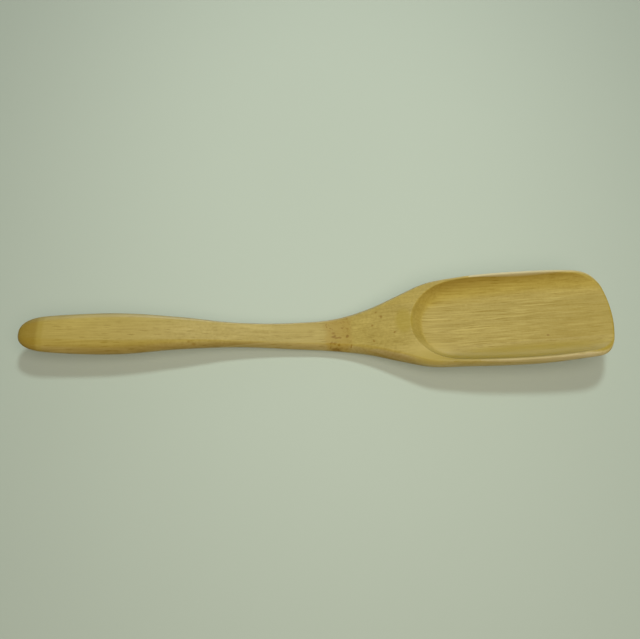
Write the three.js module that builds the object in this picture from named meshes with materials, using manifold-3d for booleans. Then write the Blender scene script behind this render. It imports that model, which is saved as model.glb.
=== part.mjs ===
// A bamboo spoon with a long handle and a scoop-shaped bowl, open at its front edge.
// It is sawn and sanded from a blank of straight bamboo strips, glued three high and three across.
// Lengths are millimetres. +X runs from the handle's end to the bowl's tip, +Z is up, the table is z = 0.

import * as THREE from 'three';
import { mergeVertices } from 'three/addons/utils/BufferGeometryUtils.js';
import Module from 'manifold-3d';

// Lengths along the spoon, one after the other
const gripLength = 110;
const neckLength = 52;
const shoulderLength = 36;
const bowlLength = 102;

// Widths across the spoon
const gripWidth = 23;
const neckWidth = 13.5;
const shoulderWidth = 19;
const bowlWidth = 52.5;
const tipWidth = 48.1;

// Heights of the top edge over the table
const gripTop = 19.6;
const neckTop = 8.1;
const shoulderTop = 8.3;
const bowlTop = 21.2;
const tipTop = 23.9;

// Thickness of the handle, and heights of the bowl's belly over the table
const gripThickness = 10.9;
const neckThickness = 7.5;
const bellyMiddle = 8.7;
const bellyTip = 15.7;
const restFlatDepth = 0.5;

// The rounding of the upper edges: how far it reaches in from the side, and how far down
const gripEdgeReach = 5.4;
const neckEdgeReach = 2;
const shoulderEdgeReach = 2.9;
const rimEdgeReach = 1;
const gripEdgeDrop = 5.1;
const neckEdgeDrop = 3.1;
const shoulderEdgeDrop = 3.9;
const rimEdgeDrop = 2.5;
const tipEdgeDrop = 1.5;
const edgeSquareness = 1.6;

// Squareness of the section's lower half
const gripBellySquareness = 2.1;
const bowlBellySquareness = 2.2;

// Rounding of the handle's end and of the bowl's front corners. Each end keeps a small facet.
const handleEndRound = 15;
const handleEndSquareness = 2.55;
const frontCornerRound = 23.2;
const frontSquareness = 5.7;
const endDepthSquareness = 2.4;
const endFacetShare = 0.22;

// Seen from above, the front edge is an arc, and the sections behind it bow more and more towards it
const frontBowRadius = 58.7;
const frontBowLength = 40;

// How the rims run down to the front lip
const rimFall = 5.3;
const rimFallLength = 23.8;
const rimFallPower = 2.4;

// The glued blank: what is left of its bottom layer, its middle layer, and its centre strips' width
const lowerGlueHeight = 9.2;
const middleLayer = 10;
const upperGlueHeight = lowerGlueHeight + middleLayer;
const centreStripWidth = 24;

// The hollow of the bowl. Its floor lies wholly in the middle layer.
const rimWidth = 1.9;
const heelWallLength = 28;
const heelFloorInset = 14;
const floorOverGlue = 1;
const heelFloorHeight = lowerGlueHeight + floorOverGlue;
const lipTop = 19.1;
const hollowSquareness = 2.4;
const wallSteepness = 6;
const hollowOverrun = 4;

// The heel wall is a steep bevel over a gentle rise, with a soft corner between them
const heelBevelFrom = 0.8;
const heelBevelShare = 0.73;
const heelGentlePower = 2.6;
const heelCornerSoftness = 0.12;

// How finely the curved surfaces are faceted
const edgePoints = 7;
const bellyPoints = 23;
const lengthStep = 4.6;
const endRings = 9;
const hollowPoints = 26;

// Places along the spoon, measured from its middle
const neckStart = gripLength;
const shoulderStart = neckStart + neckLength;
const heelAt = shoulderStart + shoulderLength;
const overallLength = heelAt + bowlLength;
const middle = overallLength / 2;
const handleEndX = -middle;
const neckX = neckStart + neckLength / 2 - middle;
const shoulderX = shoulderStart - middle;
const heelX = heelAt - middle;
const tipX = middle;

function between(from, to, share) {
  return from + (to - from) * share;
}

// A place a share of the way along the grip, neck, shoulder or bowl
const onGrip = (share) => between(handleEndX, neckStart - middle, share);
const onNeck = (share) => between(neckStart - middle, shoulderX, share);
const onShoulder = (share) => between(shoulderX, heelX, share);
const onBowl = (share) => between(heelX, tipX, share);

// A smooth curve through [place, value] points: each slope is that of the parabola through a point
// and its two neighbours, and the stretches between are cubic.
function curveThrough(points) {
  const last = points.length - 1;
  const rise = (i) => (points[i + 1][1] - points[i][1]) / (points[i + 1][0] - points[i][0]);
  const run = (i) => points[i + 1][0] - points[i][0];
  const slopes = points.map((point, i) => {
    if (i === 0) return rise(0);
    if (i === last) return rise(last - 1);
    return (run(i - 1) * rise(i) + run(i) * rise(i - 1)) / (run(i - 1) + run(i));
  });
  return (place) => {
    let i = 0;
    while (i < last - 1 && place > points[i + 1][0]) i += 1;
    const h = run(i);
    const t = (place - points[i][0]) / h;
    const startPart = (1 + 2 * t) * (1 - t) ** 2 * points[i][1] + t * (1 - t) ** 2 * h * slopes[i];
    const endPart = t * t * (3 - 2 * t) * points[i + 1][1] + t * t * (t - 1) * h * slopes[i + 1];
    return startPart + endPart;
  };
}

// Half the width, seen from above, before the two ends are rounded
const halfWidthAt = curveThrough([
  [onGrip(0), 0.77 * gripWidth / 2],
  [onGrip(0.23), 0.954 * gripWidth / 2],
  [onGrip(0.45), gripWidth / 2],
  [onGrip(0.73), between(neckWidth, gripWidth, 0.46) / 2],
  [onNeck(0), neckWidth / 2],
  [onNeck(0.54), between(neckWidth, shoulderWidth, 0.23) / 2],
  [onNeck(1), shoulderWidth / 2],
  [onShoulder(0.44), between(shoulderWidth, bowlWidth, 0.218) / 2],
  [onShoulder(0.83), between(shoulderWidth, bowlWidth, 0.528) / 2],
  [onBowl(0.08), between(shoulderWidth, bowlWidth, 0.832) / 2],
  [onBowl(0.255), between(shoulderWidth, bowlWidth, 0.941) / 2],
  [onBowl(0.61), bowlWidth / 2],
  [onBowl(1), tipWidth / 2],
]);

// Height of the top edge, before the rim runs down to the lip
const topAt = curveThrough([
  [onGrip(0), gripTop],
  [onGrip(0.23), gripTop],
  [onGrip(0.45), between(neckTop, gripTop, 0.916)],
  [onGrip(0.73), between(neckTop, gripTop, 0.686)],
  [onNeck(0), between(neckTop, gripTop, 0.266)],
  [onNeck(0.54), neckTop],
  [onNeck(1), shoulderTop],
  [onShoulder(0.44), between(shoulderTop, bowlTop, 0.22)],
  [onShoulder(0.83), between(shoulderTop, bowlTop, 0.434)],
  [onBowl(0.08), between(shoulderTop, bowlTop, 0.624)],
  [onBowl(0.255), between(shoulderTop, bowlTop, 0.803)],
  [onBowl(0.61), bowlTop],
  [onBowl(1), tipTop],
]);

// Height of the underside along the middle, before its rest flat is cut level at the table
const bottomAt = curveThrough([
  [onGrip(0), gripTop - 0.67 * gripThickness],
  [onGrip(0.23), gripTop - 0.895 * gripThickness],
  [onGrip(0.45), topAt(onGrip(0.45)) - gripThickness],
  [onGrip(0.73), topAt(onGrip(0.73)) - between(neckThickness, gripThickness, 0.7)],
  [onNeck(0), topAt(onNeck(0)) - between(neckThickness, gripThickness, 0.13)],
  [onNeck(0.54), neckTop - neckThickness],
  [onNeck(1), -restFlatDepth],
  [onShoulder(0.44), -restFlatDepth],
  [onShoulder(0.83), 0.04 * bellyMiddle],
  [onBowl(0.08), 0.235 * bellyMiddle],
  [onBowl(0.255), 0.514 * bellyMiddle],
  [onBowl(0.61), bellyMiddle],
  [onBowl(1), bellyTip],
]);

// How far the rounding of the upper edges reaches in and down
const edgeReachAt = curveThrough([
  [onGrip(0), gripEdgeReach],
  [onGrip(0.23), gripEdgeReach],
  [onGrip(0.45), between(neckEdgeReach, gripEdgeReach, 0.91)],
  [onGrip(0.73), between(neckEdgeReach, gripEdgeReach, 0.41)],
  [onNeck(0), neckEdgeReach],
  [onNeck(0.54), neckEdgeReach],
  [onNeck(1), between(neckEdgeReach, shoulderEdgeReach, 0.55)],
  [onShoulder(0.44), shoulderEdgeReach],
  [onShoulder(0.83), between(rimEdgeReach, shoulderEdgeReach, 0.9)],
  [onBowl(0.08), between(rimEdgeReach, shoulderEdgeReach, 0.42)],
  [onBowl(0.255), rimEdgeReach],
  [onBowl(1), rimEdgeReach],
]);
const edgeDropAt = curveThrough([
  [onGrip(0), 0.6 * gripEdgeDrop],
  [onGrip(0.23), gripEdgeDrop],
  [onGrip(0.45), gripEdgeDrop],
  [onGrip(0.73), between(neckEdgeDrop, gripEdgeDrop, 0.3)],
  [onNeck(0), neckEdgeDrop],
  [onNeck(0.54), neckEdgeDrop],
  [onNeck(1), between(neckEdgeDrop, shoulderEdgeDrop, 0.75)],
  [onShoulder(0.44), shoulderEdgeDrop],
  [onShoulder(0.83), between(rimEdgeDrop, shoulderEdgeDrop, 0.93)],
  [onBowl(0.08), between(rimEdgeDrop, shoulderEdgeDrop, 0.21)],
  [onBowl(0.255), rimEdgeDrop],
  [onBowl(0.61), rimEdgeDrop],
  [onBowl(1), tipEdgeDrop],
]);

// What is left at a share of the way into a superellipse end, 1 where it starts and 0 at its tip
function roundEnd(share, squareness) {
  const into = THREE.MathUtils.clamp(share, 0, 1);
  return (1 - into ** squareness) ** (1 / squareness);
}

// Shares of the way into a rounded end for its rings, closer together towards the tip
function endShares(squareness) {
  const shares = [];
  for (let i = 1; i < endRings; i += 1) {
    const left = between(endFacetShare, 1, Math.cos(Math.PI / 2 * i / endRings));
    shares.push(roundEnd(left, squareness));
  }
  return [...shares, 1];
}

// Places evenly spread from one place to another, without the first
function evenPlaces(from, to) {
  const steps = Math.ceil((to - from) / lengthStep);
  return Array.from({ length: steps }, (_, i) => between(from, to, (i + 1) / steps));
}

// 0 on the handle and 1 on the bowl, turning smoothly over the end of the neck and the shoulder
const sectionTurnStart = onNeck(0.67);
const sectionTurnEnd = onShoulder(0.78);
function bowlShare(x) {
  return THREE.MathUtils.smoothstep(x, sectionTurnStart, sectionTurnEnd);
}

// A point of a quarter superellipse, as shares of its two reaches: angle 0 is on the first, 90 degrees
// on the second
function quarterPoint(angle, squareness) {
  return [Math.cos(angle), Math.sin(angle)].map((share) => Math.max(share, 0) ** (2 / squareness));
}

// One closed ring of the outer surface at x, bowed forward near the front. It goes over a flat top with
// rounded edges to the widest line on the right, and back to the left under the rounded belly.
function outerRing(x) {
  const endShare = (handleEndX + handleEndRound - x) / handleEndRound;
  const cornerShare = (x - tipX + frontCornerRound) / frontCornerRound;
  const endLeft = roundEnd(endShare, handleEndSquareness);
  const cornerLeft = roundEnd(cornerShare, frontSquareness);
  const planLeft = Math.max(Math.min(endLeft, cornerLeft), endFacetShare);
  const halfWidth = halfWidthAt(x) * planLeft;
  const edgeReach = edgeReachAt(x) * planLeft;

  const depthLeft = Math.max(roundEnd(endShare, endDepthSquareness), endFacetShare);
  const halfHeight = (topAt(x) - bottomAt(x)) / 2 * depthLeft;
  const centre = (topAt(x) + bottomAt(x)) / 2;
  const fallShare = Math.max(x - tipX + rimFallLength, 0) / rimFallLength;
  const top = centre + halfHeight - rimFall * fallShare ** rimFallPower;
  const bottom = centre - halfHeight;
  const widest = top - (top - bottom) * edgeDropAt(x) / (topAt(x) - bottomAt(x));

  const leftEdge = Array.from({ length: edgePoints }, (_, i) => {
    const [out, up] = quarterPoint(Math.PI / 2 * i / (edgePoints - 1), edgeSquareness);
    return [halfWidth - edgeReach + edgeReach * out, widest + (top - widest) * up];
  });
  const rightEdge = leftEdge.map(([y, z]) => [-y, z]).reverse();
  const bellySquareness = between(gripBellySquareness, bowlBellySquareness, bowlShare(x));
  const belly = Array.from({ length: bellyPoints }, (_, i) => {
    const angle = Math.PI * (i + 1) / (bellyPoints + 1);
    const [out, down] = quarterPoint(Math.min(angle, Math.PI - angle), bellySquareness);
    return [halfWidth * out * Math.sign(angle - Math.PI / 2), widest - (widest - bottom) * down];
  });

  const bowShare = Math.max(x - tipX + frontBowLength, 0) / frontBowLength;
  return [...leftEdge, ...rightEdge, ...belly].map(([y, z]) => {
    const bow = bowShare ** 2 * y ** 2 / (2 * frontBowRadius);
    return new THREE.Vector3(x - bow, y, z);
  });
}

// The whole outer body, from the handle's rounded end to the bowl's front edge
function outerBody() {
  const gripStart = handleEndX + handleEndRound;
  const cornerStart = tipX - frontCornerRound;
  const places = [
    ...endShares(handleEndSquareness).reverse().map((share) => gripStart - handleEndRound * share),
    gripStart,
    ...evenPlaces(gripStart, cornerStart),
    ...endShares(frontSquareness).map((share) => cornerStart + frontCornerRound * share),
  ];
  return loft(places.map(outerRing));
}

// Height of the bowl's floor along the middle: a straight ramp up to the thin front lip
function floorAt(x) {
  const floorStart = heelX + heelFloorInset;
  return between(heelFloorHeight, lipTop, (x - floorStart) / (tipX - floorStart));
}

// How far the hollow has risen from its floor to the rim, at shares of the way out to its side and heel.
// The side walls are a steep power of the superellipse distance from the middle, and the heel wall has
// its own two stages. Each counts for its part of that distance.
function wallRise(sideShare, heelShare) {
  const sidePart = sideShare ** hollowSquareness;
  const heelPart = heelShare ** hollowSquareness;
  const out = Math.min((sidePart + heelPart) ** (1 / hollowSquareness), 1);
  const into = (out - heelBevelFrom) / (1 - heelBevelFrom);
  const bevel = (into + Math.hypot(into, heelCornerSoftness)) / (1 + Math.hypot(1, heelCornerSoftness));
  const heelRise = between(out ** heelGentlePower, bevel, heelBevelShare);
  const whole = sidePart + heelPart;
  return between(out ** wallSteepness, heelRise, whole > 0 ? heelPart / whole : 0);
}

// One closed ring of the hollow at x, over its floor and walls and closed above the rim
function hollowRing(x) {
  const heelShare = THREE.MathUtils.clamp((heelX + heelWallLength - x) / heelWallLength, 0, 1);
  const innerHalf = halfWidthAt(Math.min(x, tipX)) - rimWidth;
  const halfWidth = innerHalf * Math.max(roundEnd(heelShare, hollowSquareness), endFacetShare);
  const rim = topAt(Math.min(x, tipX));
  const points = [];
  for (let i = 0; i <= hollowPoints; i += 1) {
    const y = halfWidth * Math.sin(Math.PI * (i / hollowPoints - 0.5));
    const z = between(floorAt(x), rim, wallRise(Math.abs(y) / innerHalf, heelShare));
    points.push(new THREE.Vector3(x, y, z));
  }
  const lid = rim + hollowOverrun;
  return [...points, new THREE.Vector3(x, halfWidth, lid), new THREE.Vector3(x, -halfWidth, lid)];
}

// The hollow of the bowl, running out past the front edge
function bowlHollow() {
  const wallEnd = heelX + heelWallLength;
  const places = [
    ...endShares(hollowSquareness).reverse().map((share) => wallEnd - heelWallLength * share),
    wallEnd,
    ...evenPlaces(wallEnd, tipX + hollowOverrun),
  ];
  return loft(places.map(hollowRing));
}

// A closed solid through rings of equal count, each end shut by a fan about its middle point
function loft(rings) {
  const count = rings[0].length;
  const positions = rings.flat().flatMap((point) => point.toArray());
  const faces = [];
  for (let r = 0; r + 1 < rings.length; r += 1) {
    for (let i = 0; i < count; i += 1) {
      const a = r * count + i;
      const b = r * count + (i + 1) % count;
      faces.push(a, b, b + count, a, b + count, a + count);
    }
  }
  for (const r of [0, rings.length - 1]) {
    const hub = positions.length / 3;
    const sum = rings[r].reduce((total, point) => total.add(point), new THREE.Vector3());
    positions.push(...sum.divideScalar(count).toArray());
    for (let i = 0; i < count; i += 1) {
      const a = r * count + i;
      const b = r * count + (i + 1) % count;
      faces.push(hub, r === 0 ? b : a, r === 0 ? a : b);
    }
  }
  const geometry = new THREE.BufferGeometry();
  geometry.setAttribute('position', new THREE.Float32BufferAttribute(positions, 3));
  geometry.setIndex(faces);
  return geometry;
}

const wasm = await Module();
wasm.setup();

function toSolid(geometry) {
  const bare = geometry.clone();
  bare.deleteAttribute('normal');
  bare.deleteAttribute('uv');
  const merged = mergeVertices(bare);
  return new wasm.Manifold(new wasm.Mesh({
    numProp: 3,
    vertProperties: Float32Array.from(merged.attributes.position.array),
    triVerts: Uint32Array.from(merged.index.array),
  }));
}

function toGeometry(solid) {
  const { vertProperties, triVerts } = solid.getMesh();
  const geometry = new THREE.BufferGeometry();
  geometry.setAttribute('position', new THREE.Float32BufferAttribute(vertProperties, 3));
  geometry.setIndex(Array.from(triVerts));
  geometry.computeVertexNormals();
  return geometry;
}

// A block of space between two x, two y and two z, each open to a wide reach where it is left out
function block({ x = [-2 * middle, 2 * middle], y = [-middle, middle], z = [-middle, middle] }) {
  const geometry = new THREE.BoxGeometry(x[1] - x[0], y[1] - y[0], z[1] - z[0]);
  geometry.translate((x[0] + x[1]) / 2, (y[0] + y[1]) / 2, (z[0] + z[1]) / 2);
  return toSolid(geometry);
}

// The finished outline and hollow, cut level where the belly rests on the table
const aboveTable = block({ z: [0, middle] });
const spoon = toSolid(outerBody()).subtract(toSolid(bowlHollow())).intersect(aboveTable);

// The glue planes cut it into its strips. The handle is narrower than one strip, so only the bowl
// has strips at its sides.
const side = centreStripWidth / 2;
const ahead = [neckX, 2 * middle];
const behind = [-2 * middle, neckX];
const left = [side, middle];
const right = [-middle, -side];
const bottomPly = [-middle, lowerGlueHeight];
const middlePly = [lowerGlueHeight, upperGlueHeight];
const topPly = [upperGlueHeight, middle];
const overBottomPly = [lowerGlueHeight, middle];
const sideBlocks = block({ x: ahead, y: left }).add(block({ x: ahead, y: right }));

const strips = {
  bottom_centre_strip: spoon.intersect(block({ z: bottomPly })).subtract(sideBlocks),
  bottom_left_strip: spoon.intersect(block({ x: ahead, y: left, z: bottomPly })),
  bottom_right_strip: spoon.intersect(block({ x: ahead, y: right, z: bottomPly })),
  middle_handle_strip: spoon.intersect(block({ x: behind, z: overBottomPly })),
  middle_bowl_strip: spoon.intersect(block({ x: ahead, z: overBottomPly })).subtract(sideBlocks),
  middle_left_strip: spoon.intersect(block({ x: ahead, y: left, z: middlePly })),
  middle_right_strip: spoon.intersect(block({ x: ahead, y: right, z: middlePly })),
  top_left_rim_strip: spoon.intersect(block({ x: ahead, y: left, z: topPly })),
  top_right_rim_strip: spoon.intersect(block({ x: ahead, y: right, z: topPly })),
};

// Bamboo of neighbouring strips differs a little in tone
const stripColours = ['#ab9655', '#a89250', '#ae9a5a'];

const bambooSpoon = new THREE.Group();
Object.entries(strips).forEach(([name, solid], i) => {
  const color = stripColours[i % stripColours.length];
  const material = new THREE.MeshStandardMaterial({ color, roughness: 0.5, metalness: 0 });
  const mesh = new THREE.Mesh(toGeometry(solid), material);
  mesh.name = name;
  bambooSpoon.add(mesh);
});

export default bambooSpoon;
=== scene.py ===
import math

import bmesh
import bpy
import numpy as np
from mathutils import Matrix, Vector


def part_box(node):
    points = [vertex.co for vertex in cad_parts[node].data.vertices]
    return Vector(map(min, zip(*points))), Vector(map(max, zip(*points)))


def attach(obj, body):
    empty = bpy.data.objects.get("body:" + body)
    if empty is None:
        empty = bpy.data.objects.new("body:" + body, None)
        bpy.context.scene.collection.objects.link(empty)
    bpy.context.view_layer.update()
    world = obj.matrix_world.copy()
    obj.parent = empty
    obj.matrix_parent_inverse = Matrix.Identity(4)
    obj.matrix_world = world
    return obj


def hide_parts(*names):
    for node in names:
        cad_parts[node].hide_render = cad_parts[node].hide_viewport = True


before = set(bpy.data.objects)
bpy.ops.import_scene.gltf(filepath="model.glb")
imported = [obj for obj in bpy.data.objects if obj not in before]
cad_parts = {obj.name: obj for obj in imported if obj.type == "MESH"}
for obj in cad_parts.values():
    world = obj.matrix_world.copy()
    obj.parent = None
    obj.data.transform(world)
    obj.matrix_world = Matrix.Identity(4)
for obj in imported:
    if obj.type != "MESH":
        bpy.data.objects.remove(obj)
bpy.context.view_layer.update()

print("frame loaded:", len(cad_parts), "strips")

# The spoon's shape in metres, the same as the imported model's but much finer.
# +X runs from the handle's end to the bowl's front edge, the table is z = 0.
spoonShape = {
    # place along the spoon, half its width, height of its top, height of its underside, and how far the
    # rounding of its upper edge reaches in and down
    "stations": [
        (-0.1500, 0.00880, 0.01955, 0.01225, 0.0054, 0.0030),
        (-0.1247, 0.01090, 0.01955, 0.00983, 0.0054, 0.0050),
        (-0.1005, 0.01143, 0.01862, 0.00776, 0.0051, 0.0052),
        (-0.0697, 0.00889, 0.01598, 0.00611, 0.0034, 0.0037),
        (-0.0400, 0.00670, 0.01116, 0.00323, 0.0021, 0.0031),
        (-0.0119, 0.00733, 0.00810, 0.00056, 0.0020, 0.0032),
        (0.0120, 0.00943, 0.00830, -0.00050, 0.0025, 0.0037),
        (0.0278, 0.01310, 0.01113, -0.00050, 0.0029, 0.0040),
        (0.0419, 0.01830, 0.01389, 0.00034, 0.0027, 0.0038),
        (0.0562, 0.02338, 0.01634, 0.00204, 0.0018, 0.0028),
        (0.0740, 0.02521, 0.01864, 0.00447, 0.0011, 0.0023),
        (0.1102, 0.02620, 0.02115, 0.00870, 0.0010, 0.0026),
        (0.1500, 0.02400, 0.02390, 0.01575, 0.0010, 0.0015),
    ],
    "handleEndRound": 0.0149,
    "handleEndSquareness": 2.55,
    "frontCornerRound": 0.0232,
    "frontSquareness": 5.7,
    "frontBowRadius": 0.0587,   # seen from above, the front edge is an arc of this radius between its corners
    "frontBowFrom": 0.110,      # the rings of the skin bow more and more from here to the tip
    "endDepthSquareness": 2.4,
    "frontLeft": 0.05,          # share of the width that is left at the very front
    "lipEdgeRound": 0.0008,
    "edgeSquareness": 1.6,      # 2 would round the upper edges as quarter ellipses, less leaves them flatter
    "gripBellySquareness": 2.1,
    "bowlBellySquareness": 2.2,
    "sectionTurn": (-0.0052, 0.0401),   # the underside's section turns into the bowl's between these
    "rimFall": 0.0053,          # how far the rims run down to the lip
    "rimFallLength": 0.0238,
    "rimFallPower": 2.4,
    "restRound": 0.0001,
    "paleEdgeReach": 0.0024,         # how far the paler edge, partly wear and partly a painted sheen, reaches from the widest edge
}

bowlHollow = {
    "rimWidth": 0.0019,
    "heelX": 0.048,
    "heelWallLength": 0.028,
    "floorStartX": 0.062,
    "floorHeight": 0.0102,
    "lipHeight": 0.0191,
    "squareness": 2.4,
    "wallSteepness": 6,         # side walls
    "heelSteepFrom": 0.80,      # the heel wall is a steep bevel out from here, and a gentle rise within
    "heelSteepShare": 0.73,
    "heelGentlePower": 2.6,
    "heelCornerSoftness": 0.12,
    "edgeRound": 0.0004,        # how softly the rim and the heel's crest are sanded over
}

skinDetail = {
    "across": 201,
    "endRings": 44,
    "cornerRings": 64,
    "handleStep": 0.0010,
    "heelStep": 0.00036,
    "bowlStep": 0.0006,
    "heelFrom": 0.044,
    "heelTo": 0.080,
}


leastSize = 1e-9   # keeps a division by nothing away


def blendBetween(start, end, share):
    return start + (end - start) * share


def smoothCurve(places, values, x):
    # Cubic stretches through the points. The slope at a point is that of the parabola through it and its
    # two neighbours, and the end slopes are those of the first and last straight stretch.
    run = np.diff(places)
    rise = np.diff(values) / run
    inner = (run[:-1] * rise[1:] + run[1:] * rise[:-1]) / (run[:-1] + run[1:])
    slope = np.concatenate([rise[:1], inner, rise[-1:]])
    i = np.clip(np.searchsorted(places, x, side="right") - 1, 0, len(run) - 1)
    t = (x - places[i]) / run[i]
    start = (1 + 2 * t) * (1 - t) ** 2 * values[i] + t * (1 - t) ** 2 * run[i] * slope[i]
    end = t * t * (3 - 2 * t) * values[i + 1] + t * t * (t - 1) * run[i] * slope[i + 1]
    return start + end


def roundEnd(share, squareness):
    # What is left of a size at a share of the way into a superellipse end: 1 where it starts, 0 at its tip
    return (1 - np.clip(share, 0, 1) ** squareness) ** (1 / squareness)


def softLower(a, b, softness):
    # The lower of two heights, rounded over where they cross
    h = np.clip(0.5 + 0.5 * (b - a) / softness, 0, 1)
    return a * h + b * (1 - h) - softness * h * (1 - h)


def ringPlaces(shape, detail):
    # Places of the rings along the spoon, close together at both ends and round the heel
    tail, tip = shape["stations"][0][0], shape["stations"][-1][0]
    gripStart = tail + shape["handleEndRound"]
    cornerStart = tip - shape["frontCornerRound"]
    endLeft = np.sin(np.linspace(0, math.pi / 2, detail["endRings"]))
    cornerTurn = np.cos(np.linspace(0, math.pi / 2, detail["cornerRings"]))
    cornerLeft = blendBetween(shape["frontLeft"], 1, cornerTurn)
    heelFrom, heelTo = detail["heelFrom"], detail["heelTo"]
    return np.concatenate([
        gripStart - shape["handleEndRound"] * roundEnd(endLeft, shape["handleEndSquareness"]),
        np.arange(gripStart, heelFrom, detail["handleStep"])[1:],
        np.arange(heelFrom, heelTo, detail["heelStep"]),
        np.arange(heelTo, cornerStart - detail["bowlStep"] / 2, detail["bowlStep"]),
        cornerStart + shape["frontCornerRound"] * roundEnd(cornerLeft[:-1], shape["frontSquareness"]),
        [tip],
    ])


def hollowHeight(x, y, halfWidth, top, tip, hollow):
    # The hollow's floor is a straight ramp. Its side walls rise as a steep power of the superellipse
    # distance from the middle. Its heel wall is a bevel over a gentle rise, with a soft corner between
    # them. Both reach the rim's height at distance 1, and each counts for its own share of that distance.
    inner = halfWidth - hollow["rimWidth"]
    heelShare = np.maximum(hollow["heelX"] + hollow["heelWallLength"] - x, 0) / hollow["heelWallLength"]
    power = hollow["squareness"]
    sidePart, heelPart = (np.abs(y) / inner) ** power, heelShare ** power
    out = (sidePart + heelPart) ** (1 / power)
    soft = hollow["heelCornerSoftness"]
    into = (out - hollow["heelSteepFrom"]) / (1 - hollow["heelSteepFrom"])
    bevel = (into + np.sqrt(into ** 2 + soft ** 2)) / (1 + math.sqrt(1 + soft ** 2))
    heelRise = blendBetween(out ** hollow["heelGentlePower"], bevel, hollow["heelSteepShare"])
    sideRise = out ** hollow["wallSteepness"]
    rise = blendBetween(sideRise, heelRise, heelPart / np.maximum(sidePart + heelPart, leastSize))
    rampShare = (x - hollow["floorStartX"]) / (tip - hollow["floorStartX"])
    floor = blendBetween(hollow["floorHeight"], hollow["lipHeight"], rampShare)
    return floor + (top - floor) * rise


def spoonSkin(shape, hollow, detail):
    # The whole spoon as one closed skin. One parameter runs along the spoon, the other round its section:
    # over the top from right to left, and back underneath. Above its widest line a section is flat and
    # rounded over at each edge, below it is half a superellipse, and its top is the lower of that line and
    # the hollow. Towards the tip the sections bow forward into the arc of the front edge.
    places, halfWidths, tops, bottoms, edgeReaches, edgeDrops = np.array(shape["stations"]).T
    tail, tip = places[0], places[-1]
    x = ringPlaces(shape, detail)[:, None]
    across = np.sin(np.linspace(-math.pi / 2, math.pi / 2, detail["across"]))[None, :]

    halfWidth = smoothCurve(places, halfWidths, x)
    rimTop = smoothCurve(places, tops, x)
    belly = smoothCurve(places, bottoms, x)
    endShare = (tail + shape["handleEndRound"] - x) / shape["handleEndRound"]
    cornerShare = (x - tip + shape["frontCornerRound"]) / shape["frontCornerRound"]
    cornerLeft = np.maximum(roundEnd(cornerShare, shape["frontSquareness"]), shape["frontLeft"])
    planLeft = np.minimum(roundEnd(endShare, shape["handleEndSquareness"]), cornerLeft)
    planHalf = halfWidth * planLeft

    centre = (rimTop + belly) / 2
    halfHeight = (rimTop - belly) / 2 * roundEnd(endShare, shape["endDepthSquareness"])
    fallShare = np.maximum(x - tip + shape["rimFallLength"], 0) / shape["rimFallLength"]
    rimFall = shape["rimFall"] * fallShare ** shape["rimFallPower"]
    top = centre + halfHeight - rimFall
    bottom = centre - halfHeight

    edgeReach = smoothCurve(places, edgeReaches, x) * planLeft
    dropShare = smoothCurve(places, edgeDrops, x) / (rimTop - belly)
    widest = top - (top - bottom) * dropShare
    turnFrom, turnTo = shape["sectionTurn"]
    turn = np.clip((x - turnFrom) / (turnTo - turnFrom), 0, 1)
    turn = turn * turn * (3 - 2 * turn)
    bellyPower = blendBetween(shape["gripBellySquareness"], shape["bowlBellySquareness"], turn)
    y = planHalf * across
    intoEdge = (np.abs(y) - planHalf + edgeReach) / np.maximum(edgeReach, leastSize)
    crown = widest + (top - widest) * roundEnd(intoEdge, shape["edgeSquareness"])
    under = widest - (widest - bottom) * roundEnd(np.abs(across), bellyPower)

    bowShare = np.maximum(x - shape["frontBowFrom"], 0) / (tip - shape["frontBowFrom"])
    bowedX = x - bowShare ** 2 * y ** 2 / (2 * shape["frontBowRadius"])
    scooped = hollowHeight(bowedX, y, halfWidth, rimTop, tip, hollow)
    upper = softLower(crown, scooped, hollow["edgeRound"])
    upper[:, [0, -1]] = widest
    lower = -softLower(-under, np.zeros_like(under), shape["restRound"])

    # The front edge is rounded over about its middle height
    middleColumn = detail["across"] // 2
    edgeMiddle = (upper[:, [middleColumn]] + lower[:, [middleColumn]]) / 2
    edgeShare = 1 - np.clip((tip - x) / shape["lipEdgeRound"], 0, 1)
    edgeLeft = np.sqrt(1 - edgeShare ** 2)
    upper = edgeMiddle + (upper - edgeMiddle) * edgeLeft
    lower = edgeMiddle + (lower - edgeMiddle) * edgeLeft
    lower[:, [0, -1]] = upper[:, [0, -1]]

    # How near each point is to the sanded edge, 1 on it and 0 further away than the paler edge reaches
    inwards = planHalf * (1 - np.abs(across))
    edgeAbove = 1 - np.clip(inwards / shape["paleEdgeReach"], 0, 1)
    edgeBelow = 1 - np.clip((widest - lower) / shape["paleEdgeReach"], 0, 1)
    edgeNear = np.concatenate([edgeAbove, edgeBelow[:, -2:0:-1]], axis=1)

    ringY = np.concatenate([y, y[:, -2:0:-1]], axis=1)
    ringZ = np.concatenate([upper, lower[:, -2:0:-1]], axis=1)
    ringX = np.concatenate([bowedX, bowedX[:, -2:0:-1]], axis=1)
    return np.stack([ringX, ringY, ringZ], axis=2), edgeNear


def closedMesh(name, rings, edgeNear):
    # A skin of four-sided faces through rings of equal count, facing outwards. It carries how near each
    # point is to the sanded edge.
    ringCount, count, _ = rings.shape
    along, around = np.meshgrid(np.arange(ringCount - 1), np.arange(count), indexing="ij")
    here = along * count + around
    beside = along * count + (around + 1) % count
    faces = np.stack([here, here + count, beside + count, beside], axis=2).reshape(-1, 4)
    mesh = bpy.data.meshes.new(name)
    mesh.from_pydata(rings.reshape(-1, 3).tolist(), [], faces.tolist())
    mesh.attributes.new("edge_near", "FLOAT", "POINT").data.foreach_set("value", edgeNear.ravel())
    return mesh


snapDistance = 1e-8   # points closer than this count as one


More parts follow.
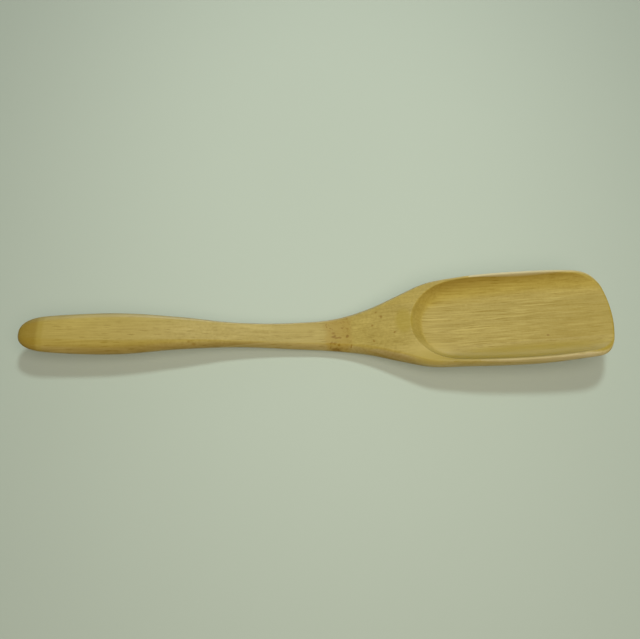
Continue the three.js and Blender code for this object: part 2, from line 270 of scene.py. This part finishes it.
def sawnStrip(body, name, low, high):
    # The part of the body between the glue planes low and high, None where a side is open.
    # Each cut is closed with a flat face.
    strip = body.copy()
    for axis in range(3):
        for side, limit in ((-1, low[axis]), (1, high[axis])):
            if limit is None:
                continue
            outward = Vector([side if i == axis else 0 for i in range(3)])
            everything = strip.verts[:] + strip.edges[:] + strip.faces[:]
            cut = bmesh.ops.bisect_plane(
                strip, geom=everything, dist=snapDistance, plane_co=outward * side * limit,
                plane_no=outward, clear_outer=True)
            rim = [e for e in cut["geom_cut"] if isinstance(e, bmesh.types.BMEdge)]
            for edge in rim:
                edge.smooth = False
            caps = bmesh.ops.holes_fill(strip, edges=rim, sides=0)["faces"]
            for cap in caps:
                cap.smooth = False
            bmesh.ops.triangulate(strip, faces=caps)
    mesh = bpy.data.meshes.new(name)
    strip.to_mesh(mesh)
    strip.free()
    piece = bpy.data.objects.new(name, mesh)
    bpy.context.scene.collection.objects.link(piece)
    return piece


skin = closedMesh("spoon_skin", *spoonSkin(spoonShape, bowlHollow, skinDetail))
body = bmesh.new()
body.from_mesh(skin)
bpy.data.meshes.remove(skin)
bmesh.ops.remove_doubles(body, verts=body.verts[:], dist=snapDistance)
for face in body.faces:
    face.smooth = True
print("skin:", len(body.faces), "faces")

# The glue planes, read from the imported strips
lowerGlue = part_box("bottom_centre_strip")[1].z
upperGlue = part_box("middle_left_strip")[1].z
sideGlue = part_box("middle_bowl_strip")[1].y
neckX = -0.014   # the middle layer has no wood here, so this parts its handle piece from its bowl piece

stripBlocks = {
    "bottom_centre_strip": ((None, -sideGlue, None), (None, sideGlue, lowerGlue)),
    "bottom_left_strip": ((None, sideGlue, None), (None, None, lowerGlue)),
    "bottom_right_strip": ((None, None, None), (None, -sideGlue, lowerGlue)),
    "middle_handle_strip": ((None, None, lowerGlue), (neckX, None, None)),
    "middle_bowl_strip": ((neckX, -sideGlue, lowerGlue), (None, sideGlue, None)),
    "middle_left_strip": ((None, sideGlue, lowerGlue), (None, None, upperGlue)),
    "middle_right_strip": ((None, None, lowerGlue), (None, -sideGlue, upperGlue)),
    "top_left_rim_strip": ((None, sideGlue, upperGlue), (None, None, None)),
    "top_right_rim_strip": ((None, None, upperGlue), (None, -sideGlue, None)),
}


def addNode(tree, kind, values=None, **settings):
    # A node with its settings, and with each named input linked to a socket or set to a value
    node = tree.nodes.new("ShaderNode" + kind)
    for name, value in settings.items():
        setattr(node, name, value)
    for name, value in (values or {}).items():
        if isinstance(value, bpy.types.NodeSocket):
            tree.links.new(value, node.inputs[name])
        else:
            node.inputs[name].default_value = value
    return node


def calculate(tree, operation, first, second=0.0, third=0.0):
    node = addNode(tree, "Math", {0: first, 1: second, 2: third}, operation=operation)
    return node.outputs["Value"]


def scaled(tree, vector, factors):
    node = addNode(tree, "VectorMath", {0: vector, 1: factors}, operation="MULTIPLY")
    return node.outputs["Vector"]


def moved(tree, vector, offset):
    node = addNode(tree, "VectorMath", {0: vector, 1: offset}, operation="ADD")
    return node.outputs["Vector"]


def fade(tree, value, start, end, low=0.0, high=1.0):
    # Turns smoothly from low to high while the value goes from start to end
    values = {"Value": value, "From Min": start, "From Max": end, "To Min": low, "To Max": high}
    return addNode(tree, "MapRange", values, interpolation_type="SMOOTHSTEP").outputs["Result"]


def blendColours(tree, share, first, second, blend="MIX"):
    node = addNode(tree, "Mix", data_type="RGBA", blend_type=blend)
    sockets = {socket.identifier: socket for socket in node.inputs}
    for name, value in (("Factor_Float", share), ("A_Color", first), ("B_Color", second)):
        if isinstance(value, bpy.types.NodeSocket):
            tree.links.new(value, sockets[name])
        else:
            sockets[name].default_value = value
    return next(socket for socket in node.outputs if socket.identifier == "Result_Color")


def newGroup(name, inputs, outputs):
    # An empty node group with named sockets, each given as a name, a kind and an input's first value
    tree = bpy.data.node_groups.new(name, "ShaderNodeTree")
    for label, kind, value in inputs:
        socket = tree.interface.new_socket(label, in_out="INPUT", socket_type="NodeSocket" + kind)
        socket.default_value = value
    for label, kind in outputs:
        tree.interface.new_socket(label, in_out="OUTPUT", socket_type="NodeSocket" + kind)
    return tree, tree.nodes.new("NodeGroupInput").outputs, tree.nodes.new("NodeGroupOutput").inputs


def centred(tree, noise):
    # A noise between 0 and 1, made to swing about zero
    return calculate(tree, "SUBTRACT", noise, 0.5)


def tinted(tree, colour, tone):
    return blendColours(tree, 1.0, colour, (*tone, 1), "MULTIPLY")


def surfaceNormal(tree):
    geometry = addNode(tree, "NewGeometry").outputs
    return addNode(tree, "SeparateXYZ", {"Vector": geometry["Normal"]}).outputs


def fibreSpace(tree, given):
    # The place counted in lengths along the fibres, widths across them and depths below, so that a pattern
    # of scale 1 in it has lines of that length, width and depth
    parts = addNode(tree, "SeparateXYZ", {"Vector": given["Vector"]}).outputs
    sizes = {"X": given["Length"], "Y": given["Width"], "Z": given["Depth"]}
    counts = {axis: calculate(tree, "DIVIDE", parts[axis], size) for axis, size in sizes.items()}
    return addNode(tree, "CombineXYZ", counts).outputs["Vector"]


def fibreStreaks():
    # Long soft lines along the fibres: noise stretched along X, thin across and a little thicker in depth
    tree, given, wanted = newGroup("fibre_streaks", [
        ("Vector", "Vector", (0, 0, 0)), ("Width", "Float", 0.001), ("Length", "Float", 0.03),
        ("Depth", "Float", 0.003)], [("Value", "Float")])
    noise = addNode(tree, "TexNoise", {
        "Vector": fibreSpace(tree, given), "Scale": 1.0, "Detail": 2.0, "Roughness": 0.55})
    tree.links.new(noise.outputs["Fac"], wanted["Value"])
    return tree


dashDetail = {"edge": (0.15, 0.5), "faintest": 0.3}


def fibreDashes():
    # Short dark vessels: some of the cells of a stretched pattern of points hold a dash each
    tree, given, wanted = newGroup("fibre_dashes", [
        ("Vector", "Vector", (0, 0, 0)), ("Width", "Float", 0.0006), ("Length", "Float", 0.006),
        ("Depth", "Float", 0.0012), ("Share", "Float", 0.35)], [("Mask", "Float")])
    cells = addNode(tree, "TexVoronoi", {"Vector": fibreSpace(tree, given), "Scale": 1.0})
    chance = addNode(tree, "SeparateColor", {"Color": cells.outputs["Color"]}).outputs
    near = fade(tree, cells.outputs["Distance"], *dashDetail["edge"], 1.0, 0.0)
    held = calculate(tree, "LESS_THAN", chance["Red"], given["Share"])
    faintest = dashDetail["faintest"]
    depth = calculate(tree, "MULTIPLY_ADD", chance["Green"], 1 - faintest, faintest)
    dash = calculate(tree, "MULTIPLY", near, held)
    tree.links.new(calculate(tree, "MULTIPLY", dash, depth), wanted["Mask"])
    return tree


def softSpot():
    # A mask that is 1 within an oval about a place and fades out round it
    tree, given, wanted = newGroup("soft_spot", [
        ("Vector", "Vector", (0, 0, 0)), ("Centre", "Vector", (0, 0, 0)), ("Reach", "Vector", (1, 1, 1)),
        ("Softness", "Float", 0.5)], [("Mask", "Float")])
    away = addNode(tree, "VectorMath", {0: given["Vector"], 1: given["Centre"]}, operation="SUBTRACT")
    share = addNode(tree, "VectorMath", {0: away.outputs["Vector"], 1: given["Reach"]}, operation="DIVIDE")
    far = addNode(tree, "VectorMath", {0: share.outputs["Vector"]}, operation="LENGTH").outputs["Value"]
    start = calculate(tree, "SUBTRACT", 1.0, given["Softness"])
    end = calculate(tree, "ADD", 1.0, given["Softness"])
    tree.links.new(fade(tree, far, start, end, 1.0, 0.0), wanted["Mask"])
    return tree


# How uneven the growth node is: the scales of its noises, how far its specks are bent in metres, and its
# trail of sparse specks, which thins out between two distances counted in half lengths of the band
nodeDetail = {
    "wanderScale": 160.0, "wander": 1.2, "bandEdge": (0.7, 1.25),
    "bendScale": 500.0, "bend": (0.003, 0.0016, 0.002), "dotEdge": (0.2, 0.5),
    "speckShare": 0.6, "speckEdge": (0.4, 1.3), "blotchScale": 620.0, "blotchEdge": (0.52, 0.68),
    "blotches": 0.45,
    "trailShare": 0.06, "trailFrom": 3.0, "trailTo": 6.0,
}


def growthNode():
    # The ring where the culm had a joint: a mottled band across the fibres, brown specks and blotches in it,
    # and a few specks more beyond it, towards the bowl
    detail = nodeDetail
    tree, given, wanted = newGroup("growth_node", [
        ("Vector", "Vector", (0, 0, 0)), ("Place", "Float", 0.0), ("Half Length", "Float", 0.006),
        ("Speck Size", "Float", 0.0011)], [("Band", "Float"), ("Specks", "Float")])
    wander = addNode(tree, "TexNoise", {
        "Vector": given["Vector"], "Scale": detail["wanderScale"], "Detail": 2.0}).outputs["Fac"]
    x = addNode(tree, "SeparateXYZ", {"Vector": given["Vector"]}).outputs["X"]
    beyond = calculate(tree, "SUBTRACT", x, given["Place"])
    beyond = calculate(tree, "DIVIDE", beyond, given["Half Length"])
    share = calculate(tree, "ABSOLUTE", beyond)
    uneven = calculate(tree, "MULTIPLY_ADD", centred(tree, wander), detail["wander"], share)
    band = fade(tree, uneven, *detail["bandEdge"], 1.0, 0.0)

    bend = addNode(tree, "TexNoise", {
        "Vector": given["Vector"], "Scale": detail["bendScale"], "Detail": 1.0}).outputs["Color"]
    bend = scaled(tree, moved(tree, bend, (-0.5, -0.5, -0.5)), detail["bend"])
    bent = moved(tree, given["Vector"], bend)
    cellScale = calculate(tree, "DIVIDE", 1.0, given["Speck Size"])
    cells = addNode(tree, "TexVoronoi", {"Vector": bent, "Scale": cellScale})
    chance = addNode(tree, "SeparateColor", {"Color": cells.outputs["Color"]}).outputs["Red"]
    dot = fade(tree, cells.outputs["Distance"], *detail["dotEdge"], 1.0, 0.0)
    thinning = fade(tree, beyond, detail["trailFrom"], detail["trailTo"], detail["trailShare"], 0.0)
    trail = calculate(tree, "MULTIPLY", fade(tree, beyond, 0.0, 0.5), thinning)
    likely = fade(tree, uneven, *detail["speckEdge"], detail["speckShare"], 0.0)
    likely = calculate(tree, "MAXIMUM", likely, trail)
    specks = calculate(tree, "MULTIPLY", dot, calculate(tree, "LESS_THAN", chance, likely))
    blotches = addNode(tree, "TexNoise", {
        "Vector": bent, "Scale": detail["blotchScale"], "Detail": 2.0}).outputs["Fac"]
    blotches = fade(tree, blotches, *detail["blotchEdge"], 0.0, detail["blotches"])
    blotches = calculate(tree, "MULTIPLY", blotches, band)
    tree.links.new(band, wanted["Band"])
    tree.links.new(calculate(tree, "MAXIMUM", specks, blotches), wanted["Specks"])
    return tree


streakGroup = fibreStreaks()
dashGroup = fibreDashes()
spotGroup = softSpot()
nodeGroup = growthNode()


# The grain's sizes in metres, how strong its lines are, the tones that the wood's colour is multiplied by,
# and its roughness. The pairs are what a value grows between: how far the surface cuts across the fibres
# where it takes the end's tone, loses its lines and shows its pores, and how far it faces sideways.
grain = {
    "wideStreaks": {"Width": 0.0021, "Length": 0.045, "Depth": 0.006},
    "fineStreaks": {"Width": 0.0007, "Length": 0.018, "Depth": 0.002},
    "clouds": {"Width": 0.012, "Length": 0.035, "Depth": 0.012},
    "wideStrength": 0.7, "fineStrength": 1.5, "faintLines": 0.55, "strongLines": 1.35,
    "cloudRange": (0.35, 0.62), "seedAcross": 0.37, "poreScale": 750.0, "poresLeft": 0.25, "linesLeft": 0.25,
    "endCut": (0.12, 0.6), "lineCut": (0.06, 0.3), "poreCut": (0.03, 0.2), "sideFacing": (0.45, 0.95),
    "deepTone": (0.76, 0.72, 0.50), "paleTone": (1.24, 1.28, 1.60), "endTone": (0.72, 0.68, 0.50),
    # The side tone darkens faces turned sideways, partly the wood's deeper tone there and partly painted
    # shade. The worn tone pales the sanded edges, partly wear and partly a painted sheen.
    "sideShadeTone": (0.79, 0.73, 0.62), "wornAndSheenTone": (1.28, 1.40, 3.20),
    "roughness": 0.50, "roughnessSpread": 0.16, "endRoughness": 0.12,
}


def bambooWood():
    # The wood of every strip. Streaks and dashes follow the fibres, and where the surface cuts across the
    # fibres it is darker and the lines end. Faces turned sideways are deeper in tone than the top, partly the
    # wood's own tone and partly painted shade, and the sanded edges are paler, partly wear and partly a
    # painted sheen.
    tree, given, wanted = newGroup("bamboo_wood", [
        ("Vector", "Vector", (0, 0, 0)), ("Seed", "Float", 0.0), ("Tone", "Color", (1, 1, 1, 1)),
        ("Streaks", "Float", 0.5), ("Dashes", "Float", 0.5), ("Clouds", "Float", 0.3),
        ("Mottle", "Float", 0.5), ("Dash Length", "Float", 0.006), ("End Grain", "Float", 0.5),
        ("Side Shade", "Float", 0.0), ("Edge", "Float", 0.0)], [
        ("Color", "Color"), ("Roughness", "Float"), ("Height", "Float")])
    seed = given["Seed"]
    seedAcross = calculate(tree, "MULTIPLY", seed, grain["seedAcross"])
    shift = addNode(tree, "CombineXYZ", {"X": seed, "Y": seedAcross, "Z": seed})
    place = moved(tree, given["Vector"], shift.outputs["Vector"])

    def streaks(name):
        values = {"Vector": place, **grain[name]}
        return addNode(tree, "Group", values, node_tree=streakGroup).outputs["Value"]

    wide = streaks("wideStreaks")
    fine = streaks("fineStreaks")
    clouds = streaks("clouds")
    dashes = addNode(tree, "Group", {"Vector": place, "Length": given["Dash Length"]},
                     node_tree=dashGroup).outputs["Mask"]
    pores = addNode(tree, "TexNoise", {
        "Vector": place, "Scale": grain["poreScale"], "Detail": 1.0}).outputs["Fac"]

    normal = surfaceNormal(tree)
    cut = calculate(tree, "ABSOLUTE", normal["X"])
    across = fade(tree, cut, *grain["endCut"])
    along = fade(tree, cut, *grain["lineCut"], 1.0, grain["linesLeft"])
    sideways = fade(tree, calculate(tree, "ABSOLUTE", normal["Y"]), *grain["sideFacing"])

    wideLines = calculate(tree, "MULTIPLY", centred(tree, wide), grain["wideStrength"])
    fineLines = calculate(tree, "MULTIPLY", centred(tree, fine), grain["fineStrength"])
    strength = fade(tree, clouds, *grain["cloudRange"], grain["faintLines"], grain["strongLines"])
    lines = calculate(tree, "MULTIPLY", calculate(tree, "ADD", wideLines, fineLines), strength)
    lines = calculate(tree, "MULTIPLY", calculate(tree, "MULTIPLY", lines, given["Streaks"]), along)
    cloudy = calculate(tree, "MULTIPLY", centred(tree, clouds), given["Clouds"])
    dashed = calculate(tree, "MULTIPLY", dashes, calculate(tree, "MULTIPLY", given["Dashes"], along))
    porous = calculate(tree, "MULTIPLY", centred(tree, pores), given["Mottle"])
    porous = calculate(tree, "MULTIPLY", porous, fade(tree, cut, *grain["poreCut"], grain["poresLeft"]))
    light = calculate(tree, "ADD", calculate(tree, "ADD", calculate(tree, "ADD", lines, cloudy), porous), 0.5)
    light = calculate(tree, "SUBTRACT", light, dashed)

    deep = tinted(tree, given["Tone"], grain["deepTone"])
    pale = tinted(tree, given["Tone"], grain["paleTone"])
    colour = blendColours(tree, light, deep, pale)
    endShare = calculate(tree, "MULTIPLY", across, given["End Grain"])
    colour = blendColours(tree, endShare, colour, tinted(tree, colour, grain["endTone"]))
    # Faces turned sideways are darkened, partly the wood's deeper tone there and partly painted shade
    sideShadeShare = calculate(tree, "MULTIPLY", sideways, given["Side Shade"])
    colour = blendColours(tree, sideShadeShare, colour, tinted(tree, colour, grain["sideShadeTone"]))
    # Sanded edges are paled, partly wear and partly a painted sheen
    colour = blendColours(tree, given["Edge"], colour, tinted(tree, colour, grain["wornAndSheenTone"]))

    rough = calculate(tree, "SUBTRACT", 0.5, fine)
    rough = calculate(tree, "MULTIPLY_ADD", rough, grain["roughnessSpread"], grain["roughness"])
    rough = calculate(tree, "MULTIPLY_ADD", across, grain["endRoughness"], rough)
    height = calculate(tree, "MULTIPLY", calculate(tree, "ADD", fine, wide), 0.5)
    height = calculate(tree, "SUBTRACT", height, dashed)
    tree.links.new(colour, wanted["Color"])
    tree.links.new(rough, wanted["Roughness"])
    tree.links.new(height, wanted["Height"])
    return tree


woodGroup = bambooWood()

# What a strip's wood looks like, unless its own entry below says otherwise
woodLook = {
    "tone": (0.433, 0.316, 0.062), "seed": 0.4, "streaks": 0.6, "dashes": 0.75, "dashLength": 0.006,
    "clouds": 0.7, "mottle": 0.7, "endGrain": 0.3, "sideShadeTone": 0.7, "edgeTone": 0.2, "edgeFullFrom": 0.55,
    "bump": 0.00004, "ior": 1.5, "gloss": 0.26, "node": None, "marks": [],
}
neckNode = {
    "place": 0.0110, "halfLength": 0.0064, "speckSize": 0.0022, "bandStrength": 0.525, "speckStrength": 0.75,
    "bandColour": (0.395, 0.250, 0.024, 1), "speckColour": (0.27, 0.145, 0.006, 1),
}
speckBrown = (0.24, 0.125, 0.005)
topFacing = (-0.1, 0.2)   # how far the surface faces up where a mark of the top begins and is whole


def spotMark(centre, reach, colour, strength, softness=0.5, topOnly=False):
    # One oval mark in the wood. With topOnly it stays off the underside.
    return {"centre": centre, "reach": reach, "colour": (*colour, 1), "strength": strength,
            "softness": softness, "topOnly": topOnly}


# Marks that cross from one strip to the next
# Painted light on the near corner of the heel's bevel, which faces the key lamp
heelPaintedLight = spotMark((0.0580, -0.0165, 0.0145), (0.0110, 0.0080, 0.0060), (0.520, 0.390, 0.092), 0.9,
                    topOnly=True)
# Painted shade along the hollow's near wall: by the heel, and all along the floor
heelNearWallShade = spotMark((0.0830, -0.0200, 0.0150), (0.0190, 0.0055, 0.0060), (0.350, 0.247, 0.012), 0.65, 0.4,
                     topOnly=True)
floorNearWallShade = spotMark((0.1080, -0.0200, 0.0160), (0.0520, 0.0060, 0.0064), (0.345, 0.243, 0.008), 0.75, 0.4,
                      topOnly=True)
shoulderBrown = spotMark((0.0400, -0.0188, 0.0092), (0.0200, 0.0068, 0.0042), (0.300, 0.178, 0.010), 0.47,
                         0.4)

stripLooks = {
    "bottom_centre_strip": {
        "streaks": 0.5, "dashes": 0.6, "sideShadeTone": 0.45, "edgeTone": 0.35, "node": neckNode, "marks": [
            spotMark((0.0087, -0.0029, 0.0082), (0.0011, 0.0006, 0.0030), speckBrown, 0.8),
            spotMark((0.0105, -0.0036, 0.0082), (0.0013, 0.0004, 0.0030), speckBrown, 0.7),
            spotMark((0.0158, -0.0031, 0.0084), (0.0008, 0.0007, 0.0030), speckBrown, 0.7),
            spotMark((0.0100, -0.0084, 0.0050), (0.0026, 0.0022, 0.0013), speckBrown, 0.8),
            shoulderBrown]},
    "bottom_left_strip": {"seed": 2.1},
    "bottom_right_strip": {"seed": 2.9, "marks": [shoulderBrown]},
    "middle_handle_strip": {
        "sideShadeTone": 1.0, "endGrain": 0.7, "marks": [
            # a painted highlight along the far edge, two steps of painted shade towards the end, and two
            # specks
            spotMark((-0.0850, 0.0065, 0.0180), (0.0600, 0.0036, 0.0200), (0.470, 0.360, 0.075), 0.3, 0.6),
            spotMark((-0.2200, 0.0, 0.0160), (0.0832, 0.2000, 0.2000), (0.350, 0.245, 0.025), 0.45, 0.012),
            spotMark((-0.2200, 0.0, 0.0160), (0.0803, 0.2000, 0.2000), (0.265, 0.160, 0.012), 0.55, 0.015),
            spotMark((-0.0645, -0.0065, 0.0140), (0.0006, 0.0005, 0.0030), speckBrown, 0.5),
            spotMark((-0.0620, -0.0074, 0.0140), (0.0009, 0.0005, 0.0030), speckBrown, 0.5)]},
    "middle_bowl_strip": {
        "tone": (0.436, 0.319, 0.060), "seed": 3.7, "streaks": 1.25, "dashes": 0.7, "dashLength": 0.014,
        "sideShadeTone": 0.3, "endGrain": 0.25, "gloss": 0.22, "node": neckNode, "marks": [
            # the darker floor towards the front, painted light on the heel's near corner, an olive patch
            # before the heel, a short pale line and a speck
            spotMark((0.1500, -0.0090, 0.0180), (0.0600, 0.0300, 0.0400), (0.350, 0.242, 0.018), 0.38, 0.6,
                     topOnly=True),
            heelPaintedLight,
            spotMark((0.0446, 0.0020, 0.0140), (0.0042, 0.0068, 0.0200), (0.395, 0.285, 0.024), 0.65, 0.35),
            spotMark((0.0780, 0.0120, 0.0120), (0.0006, 0.0020, 0.0200), (0.470, 0.350, 0.080), 0.6),
            spotMark((0.1162, -0.0097, 0.0150), (0.0007, 0.0006, 0.0200), speckBrown, 0.6, 0.4)]},
    "middle_left_strip": {"tone": (0.422, 0.304, 0.050), "dashes": 0.4, "endGrain": 0.2, "gloss": 0.22},
    "middle_right_strip": {
        "sideShadeTone": 0.3, "endGrain": 0.1, "edgeTone": 0.6, "gloss": 0.22,
        "marks": [heelPaintedLight, heelNearWallShade, floorNearWallShade, shoulderBrown]},
    "top_left_rim_strip": {
        "tone": (0.422, 0.304, 0.050), "dashes": 0.4, "endGrain": 0.1, "edgeTone": 1.0, "marks": [
            # a painted sheen along the far rim
            spotMark((0.0960, 0.0250, 0.0225), (0.0420, 0.0015, 0.0060), (0.600, 0.530, 0.300), 0.7,
                     topOnly=True)]},
    "top_right_rim_strip": {"endGrain": 0.1, "sideShadeTone": 0.0, "edgeTone": 0.85, "marks": [floorNearWallShade]},
}


def bambooMaterial(name, look):
    material = bpy.data.materials.new(name)
    material.use_nodes = True
    tree = material.node_tree
    shader = tree.nodes["Principled BSDF"]
    place = addNode(tree, "TexCoord").outputs["Object"]
    edgeNear = addNode(tree, "Attribute", attribute_name="edge_near").outputs["Fac"]
    # How strongly the edges are paled, partly wear and partly a painted sheen
    wearAndSheen = fade(tree, edgeNear, 0.0, look["edgeFullFrom"], 0.0, look["edgeTone"])
    wood = addNode(tree, "Group", {
        "Vector": place, "Seed": look["seed"], "Tone": (*look["tone"], 1), "Streaks": look["streaks"],
        "Dashes": look["dashes"], "Clouds": look["clouds"], "Mottle": look["mottle"],
        "Dash Length": look["dashLength"], "End Grain": look["endGrain"],
        "Side Shade": look["sideShadeTone"], "Edge": wearAndSheen}, node_tree=woodGroup).outputs
    colour = wood["Color"]
    growth = look["node"]
    if growth:
        ring = addNode(tree, "Group", {
            "Vector": place, "Place": growth["place"], "Half Length": growth["halfLength"],
            "Speck Size": growth["speckSize"]}, node_tree=nodeGroup).outputs
        band = calculate(tree, "MULTIPLY", ring["Band"], growth["bandStrength"])
        specks = calculate(tree, "MULTIPLY", ring["Specks"], growth["speckStrength"])
        colour = blendColours(tree, band, colour, growth["bandColour"])
        colour = blendColours(tree, specks, colour, growth["speckColour"])
    for mark in look["marks"]:
        spot = addNode(tree, "Group", {
            "Vector": place, "Centre": mark["centre"], "Reach": mark["reach"],
            "Softness": mark["softness"]}, node_tree=spotGroup).outputs["Mask"]
        if mark["topOnly"]:
            faceUp = fade(tree, surfaceNormal(tree)["Z"], *topFacing)
            spot = calculate(tree, "MULTIPLY", spot, faceUp)
        spot = calculate(tree, "MULTIPLY", spot, mark["strength"])
        colour = blendColours(tree, spot, colour, mark["colour"])
    tree.links.new(colour, shader.inputs["Base Color"])
    tree.links.new(wood["Roughness"], shader.inputs["Roughness"])
    shader.inputs["IOR"].default_value = look["ior"]
    shader.inputs["Specular IOR Level"].default_value = look["gloss"]
    bump = addNode(tree, "Bump", {"Height": wood["Height"], "Strength": 1.0, "Distance": look["bump"]})
    tree.links.new(bump.outputs["Normal"], shader.inputs["Normal"])
    return material


for node, (low, high) in stripBlocks.items():
    piece = sawnStrip(body, node + "_wood", low, high)
    piece.data.materials.append(bambooMaterial(node + "_bamboo", {**woodLook, **stripLooks[node]}))
    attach(piece, "root")
    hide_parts(node)
    print(node, len(piece.data.polygons), "faces")
body.free()

# A pale table top with a painted pool of light round the spoon's middle, darker towards its edges. It also
# glows faintly, a painted light that lifts the shadows round the spoon.
table = {
    "size": 3.0, "under": 0.00002, "colour": (0.430, 0.475, 0.372), "outerShare": 0.71, "glow": 0.235,
    "lightPoolPlace": (0.01, 0.12, 0.0), "lightPoolReach": (0.17, 0.27, 1.0), "lightPoolSoftness": 0.75,
    "mottle": 0.03, "mottleScale": 30.0, "roughness": 0.9,
}
half = table["size"] / 2
tableMesh = bpy.data.meshes.new("table_top")
corners = [(-half, -half), (half, -half), (half, half), (-half, half)]
tableMesh.from_pydata([(x, y, -table["under"]) for x, y in corners], [], [(0, 1, 2, 3)])
tableTop = bpy.data.objects.new("table_top", tableMesh)
bpy.context.scene.collection.objects.link(tableTop)
tableMaterial = bpy.data.materials.new("table_paper")
tableMaterial.use_nodes = True
tableTree = tableMaterial.node_tree
tableShader = tableTree.nodes["Principled BSDF"]
tablePlace = addNode(tableTree, "TexCoord").outputs["Object"]
# Painted pool of light round the spoon's middle
paintedLightPool = addNode(tableTree, "Group", {
    "Vector": tablePlace, "Centre": table["lightPoolPlace"], "Reach": table["lightPoolReach"],
    "Softness": table["lightPoolSoftness"]}, node_tree=spotGroup).outputs["Mask"]
uneven = addNode(tableTree, "TexNoise", {
    "Vector": tablePlace, "Scale": table["mottleScale"], "Detail": 2.0}).outputs["Fac"]
uneven = calculate(tableTree, "MULTIPLY", calculate(tableTree, "SUBTRACT", uneven, 0.5), table["mottle"])
outer = [part * table["outerShare"] for part in table["colour"]]
lightness = calculate(tableTree, "ADD", paintedLightPool, uneven)
paper = blendColours(tableTree, lightness, (*outer, 1), (*table["colour"], 1))
tableTree.links.new(paper, tableShader.inputs["Base Color"])
# The table glows with its own colour, a painted light that lifts the shadows
tableTree.links.new(paper, tableShader.inputs["Emission Color"])
tableShader.inputs["Emission Strength"].default_value = table["glow"]
tableShader.inputs["Roughness"].default_value = table["roughness"]
tableMesh.materials.append(tableMaterial)
print("table placed")

# A soft key lamp from beyond the spoon, a broad fill from the viewer's side that stays out of reflections,
# a pale wall beyond that shows in reflections alone, and even light all round
lamps = {
    "key": {"from": (0.16, 0.42, 1.0), "distance": 1.5, "size": 0.27, "watts": 9.9,
            "colour": (0.79, 0.94, 1.0), "lights": True, "shows": True},
    "fill": {"from": (0.17, -0.50, 1.0), "distance": 1.2, "size": 1.1, "watts": 9.0,
             "colour": (1.0, 0.92, 0.90), "lights": True, "shows": False},
    "sheen": {"from": (0.0, 1.0, 0.30), "distance": 1.5, "size": 1.0, "watts": 21.0,
              "colour": (0.9, 0.95, 1.0), "lights": False, "shows": True},
}
room = {"colour": (1.0, 0.92, 0.66), "strength": 0.13}
for name, lamp in lamps.items():
    light = bpy.data.lights.new(name + "_lamp", "AREA")
    light.shape = "DISK"
    light.size = lamp["size"]
    light.energy = lamp["watts"]
    light.color = lamp["colour"]
    direction = Vector(lamp["from"]).normalized()
    lampObject = bpy.data.objects.new(name + "_lamp", light)
    lampObject.location = direction * lamp["distance"]
    lampObject.rotation_euler = direction.to_track_quat("Z", "Y").to_euler()
    lampObject.visible_diffuse = lamp["lights"]
    lampObject.visible_glossy = lamp["shows"]
    bpy.context.scene.collection.objects.link(lampObject)
world = bpy.data.worlds.new("room")
world.use_nodes = True
background = world.node_tree.nodes["Background"]
background.inputs["Color"].default_value = (*room["colour"], 1)
background.inputs["Strength"].default_value = room["strength"]
bpy.context.scene.world = world

# The photograph's view: from the right-hand side of the spoon, looking down
view = {
    "lookAt": (0.0023, 0.00673, 0.0), "distance": 0.4169, "elevation": 61.0, "turn": 2.02,
    "lens": 44.43, "sensor": 36.0, "shiftX": -0.0008, "shiftY": 0.0141, "clipStart": 0.01,
}
elevation, turn = math.radians(view["elevation"]), math.radians(view["turn"])
level = math.cos(elevation)
backward = Vector((-math.sin(turn) * level, -math.cos(turn) * level, math.sin(elevation)))
camera = bpy.data.cameras.new("camera")
camera.sensor_fit = "HORIZONTAL"
camera.sensor_width = view["sensor"]
camera.lens = view["lens"]
camera.shift_x = view["shiftX"]
camera.shift_y = view["shiftY"]
camera.clip_start = view["clipStart"]
cameraObject = bpy.data.objects.new("camera", camera)
cameraObject.location = Vector(view["lookAt"]) + backward * view["distance"]
cameraObject.rotation_euler = (math.pi / 2 - elevation, 0, -turn)
bpy.context.scene.collection.objects.link(cameraObject)
bpy.context.scene.camera = cameraObject
bpy.context.scene.view_settings.view_transform = "Standard"
print("camera and lights placed")
